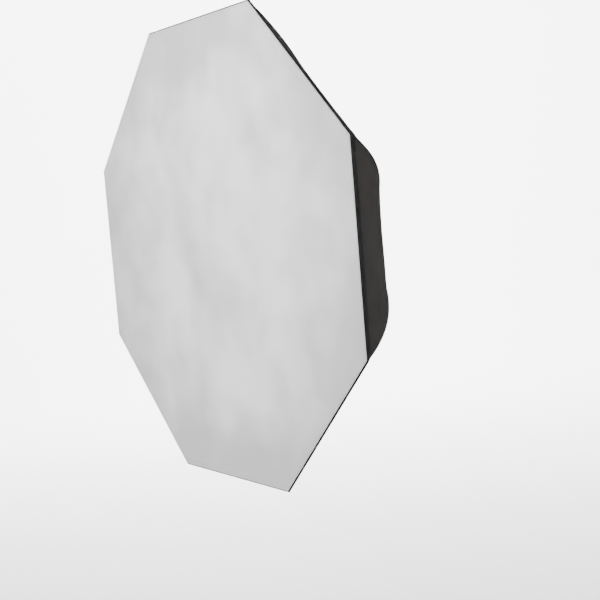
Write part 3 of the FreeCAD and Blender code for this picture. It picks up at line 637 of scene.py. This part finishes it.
def flat_ring(name, apothem, width, front, thick, per_side, material):
    """A flat mitred tape round the rim, its outer edge at that apothem."""
    points, outs = rim_path(apothem - width / 2, front + thick / 2, per_side)
    ups = [(0, -1, 0)] * len(points)
    return ribbon(name, points, outs, ups, width, thick, [material], closed=True)


def rim_binding():
    """Grosgrain edging round the outside of the rim, thickened to a bead and folded over its front edge.

    Its outline is in pairs of distance behind the rim and height above the gore.
    """
    outline = [(back, 0.0009) for back in np.linspace(0.026, 0.008, 7)]
    outline += [(0.0065, 0.0022), (0.0045, 0.0036), (0.0024, 0.0042), (0.0008, 0.0034), (0.0001, 0.0014)]
    outline += [(0.0, -0.0012), (0.0002, -0.0044), (0.0014, -0.0046), (0.0018, -0.0022), (0.003, -0.0013)]
    outline += [(back, 0.0001) for back in (0.004, 0.012, 0.020, 0.026)]
    per_side = 40
    ring = []
    run = []
    length = 0.0
    for k in range(SIDES):
        for i in range(per_side):
            f = i / per_side
            row = []
            for back, lift in outline:
                radius = ARC + lift
                y = RIM_Y + back
                r = ARC_Z + math.sqrt(radius ** 2 - (y - ARC_Y) ** 2)
                half = r * math.tan(HALF)
                wave = 0.00025 * smooth_noise((k + f) * 19, back * 60) if 0 < i else 0.0
                row.append(turned([(-half + 2 * half * f, y, r + wave)], STEP * k)[0])
            ring.append(row)
            run.append(length)
            length += 2 * APOTHEM * math.tan(HALF) / per_side
    around = np.concatenate([[0], np.cumsum([math.dist(a, b) for a, b in zip(outline, outline[1:])])])
    return tube("rim_edging", ring, around, run, [BINDING], closed=True)


edging = rim_binding()
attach(edging, "softbox")
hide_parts("rim_binding")


def rim_rows(back, lift):
    """Lines of sewing along the edging, which stop short of the corners."""
    rows = []
    y = RIM_Y + back
    r = ARC_Z + math.sqrt((ARC + lift) ** 2 - (y - ARC_Y) ** 2)
    half = 0.985 * r * math.tan(HALF)
    for k in range(SIDES):
        line = [(-half + 2 * half * i / 30, y, r) for i in range(31)]
        up = [(0, math.sin(FRONT_ANGLE), math.cos(FRONT_ANGLE))] * 31
        rows.append((turned(line, STEP * k), turned(up, STEP * k)))
    return rows


edging_sewing = stitches("edging_stitches", rim_rows(0.0235, 0.0014) + rim_rows(0.0105, 0.0014), BLACK_THREAD)
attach(edging_sewing, "softbox")

low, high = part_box("rim_webbing")
webbing = flat_ring("rim_webbing_tape", high.z, 0.030, low.y, 0.0013, 24, WEBBING)
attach(webbing, "softbox")
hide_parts("rim_webbing")
low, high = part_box("rim_loop_tape")
loops = flat_ring("rim_loop_pile", high.z, 0.025, low.y, 0.0012, 24, LOOP)
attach(loops, "softbox")
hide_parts("rim_loop_tape")
low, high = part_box("diffuser_hook_tape")
hooks = flat_ring("diffuser_hook_pile", high.z, 0.025, low.y, 0.0012, 24, HOOK)
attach(hooks, "diffuser")
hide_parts("diffuser_hook_tape")


# ---------------------------------------------------------------- front diffuser and inner baffle


def octagon_sheet(name, apothem, front, thick, material, relief, per_side, rings):
    """An octagonal sheet in rings from its centre out. relief moves its points along the optical axis."""
    levels = [1 - (1 - f) ** 1.35 for f in np.linspace(0, 1, rings)][1:]
    cols = SIDES * per_side
    shape = octagon_ring(1.0, per_side)
    points = [np.zeros(3)]
    for level in levels:
        points.extend(shape * apothem * level)
    points = np.array(points)
    lift = np.array([relief(p[0], p[2]) for p in points])
    outer = points + np.array([0, front, 0])
    outer[:, 1] += lift
    inner = outer + np.array([0, thick, 0])
    n = len(points)
    front_faces = [(0, 1 + (j + 1) % cols, 1 + j) for j in range(cols)]
    front_faces += [f[::-1] for f in grid_faces(len(levels), cols, 1, True, True)]
    faces = front_faces + [tuple(n + i for i in f[::-1]) for f in front_faces]
    last = 1 + (len(levels) - 1) * cols
    for j in range(cols):
        k = (j + 1) % cols
        faces.append((last + j, last + k, last + k + n, last + j + n))
    uvs = np.concatenate([points[:, [0, 2]]] * 2)
    return mesh_object(name, np.concatenate([outer, inner]), faces, uvs, [material])


def hem_ring(name, apothem, width, front, thick, material, relief, per_side, rings=15):
    """The turned-in hem of an octagonal sheet: a band along its edge that follows the same relief."""
    shape = octagon_ring(1.0, per_side)
    levels = np.linspace(apothem - width, apothem, rings)
    outer = np.array([shape * level for level in levels])
    lift = np.array([[relief(p[0], p[2]) for p in row] for row in outer])
    uv = outer[:, :, [0, 2]].copy()
    outer[:, :, 1] = front + lift
    inner = outer + np.array([0, thick, 0])
    return slab(name, outer, inner, uv, [material], wrap=True)


def edge_distance(x, z, apothem):
    """Distance in from the nearest side of the octagon, that side's number, and the place along it."""
    best = (9.0, 0, 0.0)
    for k in range(SIDES):
        a = STEP * k
        d = apothem - (x * math.sin(a) + z * math.cos(a))
        if d < best[0]:
            best = (d, k, x * math.cos(a) - z * math.sin(a))
    return best


def diffuser_relief(x, z):
    """Tension folds of the front diffuser: puckers at the hem, pulls at the corners and a slight drift.

    The folds of two neighbouring sides agree where they meet, on the line from the centre to a corner.
    """
    d, side, along = edge_distance(x, z, APOTHEM)
    half = APOTHEM * math.tan(HALF)
    to_corner = half - abs(along)
    seed = 31.0 + 11.0 * side
    own = ramp((APOTHEM - d) * math.tan(HALF) - abs(along), 0.0, 0.10)
    phase = 6 * smooth_noise(along * 6, seed) * own
    strength = 0.4 + 0.9 * abs(smooth_noise(along * 5, seed, 7.0)) * own
    station = math.hypot(along, 0.04)
    pucker = 0.0014 * (math.sin(station * 2 * math.pi / 0.052 + phase) - 1) * math.exp(-d / 0.045) * strength
    hem = ramp(d, 0.0, 0.008)
    pull_fade = math.exp(-max(to_corner, 0.0) / 0.10) * math.exp(-d / 0.11)
    pull = 0.0012 * (math.sin((station + d * 0.4) * 2 * math.pi / 0.075 + phase) - 1) * pull_fade
    drift = 0.0042 * smooth_noise(x * 2.6, z * 2.1, 4.0) * ramp(d, 0.03, 0.20)
    sway = 0.0020 * math.sin(z * 2 * math.pi / 0.062 + 3 * smooth_noise(x * 4, z * 3, 9.0))
    sway *= ramp(-z, 0.30, 0.48) * ramp(d, 0.02, 0.10) * abs(smooth_noise(x * 5, z * 2.5, 2.0)) * 1.6
    seam = 0.0004 * (1 - ramp(abs(d - 0.024), 0.0, 0.004))
    return (pucker + pull) * hem + drift + sway + seam + 0.0002


low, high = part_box("front_diffuser")
diffuser = octagon_sheet("front_diffuser_cloth", high.z, low.y + 0.0002, 0.0005, WHITE, diffuser_relief,
                         per_side=64, rings=96)
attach(diffuser, "diffuser")
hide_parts("front_diffuser")


def hem_rows(apothem, inset, y, relief):
    """Lines of sewing along the sides of an octagonal sheet, just proud of its face."""
    proud = 0.0005
    rows = []
    for k in range(SIDES):
        half = (apothem - inset) * math.tan(HALF)
        line = turned([(-half + 2 * half * i / 60, 0, apothem - inset) for i in range(61)], STEP * k)
        for p in line:
            p[1] = y + relief(p[0], p[2]) - proud
        rows.append((line, [(0, -1, 0)] * 61))
    return rows


diffuser_sewing = stitches("diffuser_stitches", hem_rows(high.z, 0.024, low.y + 0.0002, diffuser_relief)
                           + hem_rows(high.z, 0.004, low.y + 0.0002, diffuser_relief), WHITE_THREAD)
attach(diffuser_sewing, "diffuser")
low_hem, high_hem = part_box("diffuser_hem")
diffuser_hem = hem_ring("diffuser_hem_fold", high_hem.z, 0.028, low_hem.y + 0.0002, 0.0006, WHITE_HEM,
                        diffuser_relief, 64)
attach(diffuser_hem, "diffuser")
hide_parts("diffuser_hem")


def baffle_relief(x, z):
    """The inner baffle's folds, pulled towards its eight straps."""
    apothem = BAFFLE_CORNER * math.cos(HALF)
    d, _, along = edge_distance(x, z, apothem)
    half = apothem * math.tan(HALF)
    scallop = 0.0030 * (1 - (along / half) ** 2) * math.exp(-max(d, 0.0) / 0.05)
    drift = 0.0030 * smooth_noise(x * 4, z * 4, 14.0) * ramp(d, 0.0, 0.12)
    return scallop * 0.4 + drift


low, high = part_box("inner_baffle")
baffle = octagon_sheet("inner_baffle_cloth", high.z, low.y + 0.0001, 0.0005, WHITE, baffle_relief,
                       per_side=32, rings=48)
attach(baffle, "softbox")
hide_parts("inner_baffle")
baffle_rows = hem_rows(high.z, 0.019, low.y + 0.0001, baffle_relief)
baffle_sewing = stitches("baffle_stitches", baffle_rows, WHITE_THREAD)
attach(baffle_sewing, "softbox")
low_hem, high_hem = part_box("baffle_hem")
baffle_hem = hem_ring("baffle_hem_fold", high_hem.z, 0.022, low_hem.y + 0.0002, 0.0006, WHITE_HEM,
                      baffle_relief, 32)
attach(baffle_hem, "softbox")
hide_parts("baffle_hem")


def rod_point(angle):
    """A point on a rod's middle line, before it is turned to its corner."""
    a = ROD_TILT + angle
    return np.array([0, ROD_CENTRE.y + ROD_ARC * math.cos(a), ROD_CENTRE.z + ROD_ARC * math.sin(a)])


def make_straps():
    """Straps from the baffle's corners, each looped round its rod and sewn back on itself."""
    low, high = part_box("baffle_straps")
    y = (low.y + high.y) / 2
    made = []
    rod_r = ROD_CENTRE.z + math.sqrt(ROD_ARC ** 2 - (y - ROD_CENTRE.y) ** 2)
    loop = 0.0066
    for k in range(SIDES):
        straight = [(0, y, r) for r in np.linspace(STRAP_START, rod_r - 0.020, 12)]
        path = np.array(straight + [(0, y + 0.0008, rod_r - 0.013)])
        steps = np.gradient(path, axis=0)
        steps /= np.linalg.norm(steps, axis=1)[:, None]
        ups = np.cross(X_AXIS, steps)
        sides = np.tile(X_AXIS, (len(path), 1))
        strap = ribbon(f"strap_{k}", turned(path, HALF + STEP * k), turned(sides, HALF + STEP * k),
                       turned(ups, HALF + STEP * k), 0.020, 0.0013, [WEBBING])
        ring_angles = np.linspace(0, 2 * math.pi, 28, endpoint=False)
        centre = np.array([0, y, rod_r])
        ring_up = np.array([[0, math.cos(a), math.sin(a)] for a in ring_angles])
        ring = centre + ring_up * loop
        ring_side = np.tile(X_AXIS, (len(ring), 1))
        band = ribbon(f"strap_loop_{k}", turned(ring, HALF + STEP * k), turned(ring_side, HALF + STEP * k),
                      turned(ring_up, HALF + STEP * k), 0.018, 0.0012, [WEBBING], closed=True)
        made += [strap, band]
    return joined("baffle_straps_webbing", made)


straps = make_straps()
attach(straps, "softbox")
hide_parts("baffle_straps")


# ---------------------------------------------------------------- pockets, keepers and rear collar


def sleeves(name, start, stop, radius, wall, material):
    """Sewn cloth socks round the rods between two angles along them, drawn in at the end."""
    made = []
    count = 22
    for k in range(SIDES):
        rows = []
        stations = [(a, radius) for a in np.linspace(start, stop, count)]
        inner = [(a, radius - wall) for a in np.linspace(stop, start, count)]
        for a, r in stations + inner:
            tilt = ROD_TILT + a
            out = np.array([0, math.cos(tilt), math.sin(tilt)])
            row = []
            for j in range(24):
                q = 2 * math.pi * j / 24
                bulge = 1 + 0.05 * math.cos(2 * q) + 0.035 * smooth_noise(q * 1.3, a * 90, k)
                close = 1 - 0.35 * ramp((a - start) / (stop - start), 0.86, 1.0)
                reach = r * bulge * close
                row.append(rod_point(a) + out * math.cos(q) * reach + X_AXIS * math.sin(q) * reach)
            rows.append(row)
        ring = turned(rows, HALF + STEP * k)
        around = [radius * 2 * math.pi * j / 24 for j in range(24)]
        along = [i * (stop - start) * ROD_ARC / count for i in range(len(rows))]
        made.append(tube(f"{name}_{k}", ring, around, along, [material], closed=True))
    return joined(name, made)


pockets = sleeves("corner_pocket_socks", ROD_SWEEP - math.radians(1.4), ROD_SWEEP + math.radians(0.33),
                  radius=0.0078, wall=0.0012, material=WEBBING)
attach(pockets, "softbox")
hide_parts("corner_pockets")


def make_keepers():
    """Narrow loops round the rods, each with a tail sewn to the seam above it."""
    made = []
    for k in range(SIDES):
        for place in KEEPERS:
            a0 = math.radians(place)
            tilt = ROD_TILT + a0
            out = np.array([0, math.cos(tilt), math.sin(tilt)])
            along = np.array([0, -math.sin(tilt), math.cos(tilt)])
            centre = rod_point(a0)
            turns = np.linspace(0, 2 * math.pi, 28, endpoint=False)
            ups = [out * math.cos(q) + X_AXIS * math.sin(q) for q in turns]
            ring = [centre + up * 0.0050 for up in ups]
            sides = np.tile(along, (len(ring), 1))
            loop = ribbon(f"loop_{k}_{place}", turned(ring, HALF + STEP * k), turned(sides, HALF + STEP * k),
                          turned(ups, HALF + STEP * k), 0.0145, 0.0012, [WEBBING], closed=True)
            tail = [centre + out * h for h in np.linspace(0.0048, 0.0092, 5)]
            tail_up = np.tile(X_AXIS, (5, 1))
            tab = ribbon(f"tail_{k}_{place}", turned(tail, HALF + STEP * k),
                         turned(np.tile(along, (5, 1)), HALF + STEP * k), turned(tail_up, HALF + STEP * k),
                         0.0140, 0.0016, [WEBBING])
            made += [loop, tab]
    return joined("rod_keeper_loops", made)


keepers = make_keepers()
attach(keepers, "softbox")
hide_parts("rod_keepers")


COLLAR_OUTER, COLLAR_INNER = 0.112, 0.0752  # its radii at the shell and at the speedring


def make_collar():
    """Collar gathered on its elastic: flat where it is sewn to the shell, and pleated at the speedring."""
    low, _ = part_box("rear_collar")
    rows, cols = 26, 480
    rng = random.Random(7)
    pleats = [rng.uniform(-0.6, 0.6) for _ in range(60)]
    outer = np.empty((rows, cols, 3))
    inner = np.empty((rows, cols, 3))
    uv = np.empty((rows, cols, 2))
    for i in range(rows):
        f = i / (rows - 1)
        radius = COLLAR_OUTER + (COLLAR_INNER - COLLAR_OUTER) * f
        for j in range(cols):
            q = 2 * math.pi * j / cols
            gather = ramp(f, 0.15, 1.0)
            number = q / (2 * math.pi) * 44
            sway = pleats[int(number) % 60] * (1 - abs(2 * (number % 1) - 1))
            wave = math.sin(2 * math.pi * number + sway)
            lift = gather * (0.0014 + 0.0014 * wave)
            depth = low.y + 0.0003 + lift + 0.0006 * gather
            outer[i, j] = (radius * math.sin(q), depth + 0.0006, radius * math.cos(q))
            inner[i, j] = (radius * math.sin(q), depth, radius * math.cos(q))
            uv[i, j] = (q * COLLAR_OUTER * 1.1, radius)
    return slab("gathered_collar", outer, inner, uv, [BLACK_NYLON, SILVER], wrap=True)


collar = make_collar()
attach(collar, "softbox")
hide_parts("rear_collar")


CASING_RING, CASING = 0.0768, 0.0021  # radius of the ring it makes and of its own section


def make_casing():
    """The casing that the elastic runs in, bunched into small folds."""
    low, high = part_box("collar_elastic")
    middle = (low.y + high.y) / 2
    rows = []
    count = 528
    for i in range(count):
        q = 2 * math.pi * i / count
        fat = 1 + 0.16 * math.sin(q * 88) + 0.06 * smooth_noise(q * 20, 3.0)
        row = []
        for j in range(14):
            a = 2 * math.pi * j / 14
            r = CASING_RING + CASING * fat * math.cos(a)
            row.append((r * math.sin(q), middle + 0.0004 + 0.0018 * fat * math.sin(a), r * math.cos(q)))
        rows.append(row)
    around = [CASING * 2 * math.pi * j / 14 for j in range(14)]
    along = [i * 2 * math.pi * CASING_RING / count for i in range(count)]
    return tube("collar_casing", rows, around, along, [ELASTIC], closed=True)


casing = make_casing()
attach(casing, "softbox")
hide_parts("collar_elastic")


# ---------------------------------------------------------------- studio


def make_stage():
    """A round pale studio: a flat floor that sweeps up into a wall on every side."""
    floor = -1.75
    profile = [(0.02, 0), (2, 0), (5, 0), (8, 0)]
    profile += [(8 + 5 * math.sin(a), 5 - 5 * math.cos(a)) for a in np.linspace(0.1, math.pi / 2, 14)]
    profile += [(13, 7.0), (13, 9.0)]
    verts = []
    cols = 96
    for r, z in profile:
        for j in range(cols):
            q = 2 * math.pi * j / cols
            verts.append((r * math.cos(q), r * math.sin(q), floor + z))
    faces = grid_faces(len(profile), cols, 0, False, True)
    faces.append(tuple(range(cols))[::-1])
    m = Nodes("studio_paper")
    tone = m.noise(m.coords("Object"), 0.4, 2.0)
    m.link(m.shades(tone, [(0.2, grey(0.86)), (0.8, grey(0.89))]), m.shader.inputs["Base Color"])
    m.set(Roughness=0.9)
    uvs = [(v[0], v[1]) for v in verts]
    stage = mesh_object("studio_floor", verts, faces, uvs, [m.material])


def area_light(name, place, target, size, power):
    """A round white lamp at a place, aimed at a target."""
    data = bpy.data.lights.new(name, "AREA")
    data.shape = "DISK"
    data.size = size
    data.energy = power
    lamp = bpy.data.objects.new(name, data)
    lamp.location = place
    lamp.rotation_mode = "QUATERNION"
    lamp.rotation_quaternion = (Vector(target) - Vector(place)).to_track_quat("-Z", "Y")
    bpy.context.scene.collection.objects.link(lamp)


def make_camera():
    """The camera, at the front right of the object and a little above its axis."""
    right = Vector((0.58397, 0.80783, -0.07997))
    up = Vector((-0.02487, 0.11627, 0.99291))
    forward = right.cross(up) * -1
    data = bpy.data.cameras.new("camera")
    data.sensor_width = 36
    data.lens = 68.56
    data.clip_start = 0.05
    data.clip_end = 60
    camera = bpy.data.objects.new("camera", data)
    camera.matrix_world = Matrix.Translation((2.9522, -2.3444, 0.1375)) @ Matrix(
        (right, up, -forward)).transposed().to_4x4()
    bpy.context.scene.collection.objects.link(camera)
    bpy.context.scene.camera = camera


make_stage()
make_camera()
area_light("key", (0.30, -1.95, 0.80), (0.10, -0.54, 0.15), 0.9, 40)
area_light("fill", (-3.4, -2.6, 1.2), (0, -0.3, 0), 3.0, 5)
area_light("side", (4.2, 0.6, 2.2), (0.3, -0.2, 0), 2.2, 170)
area_light("back", (-1.5, 3.6, 2.6), (0, 0, 0), 2.6, 45)
for number, (east, north) in enumerate(((-10.5, 7.5), (-6.5, 10.5), (-12.5, 2.5))):
    area_light(f"wall_{number}", (east * 0.5, north * 0.5, 5.5), (east, north, 0.5), 4.0, 1500)
area_light("floor_wash", (-3.5, 2.5, 6.0), (-4.5, 3.2, -1.7), 5.0, 1000)

world = bpy.data.worlds.new("studio_air")
bpy.context.scene.world = world
world.use_nodes = True
world.node_tree.nodes["Background"].inputs["Color"].default_value = (1.0, 1.0, 1.0, 1)
world.node_tree.nodes["Background"].inputs["Strength"].default_value = 0.3
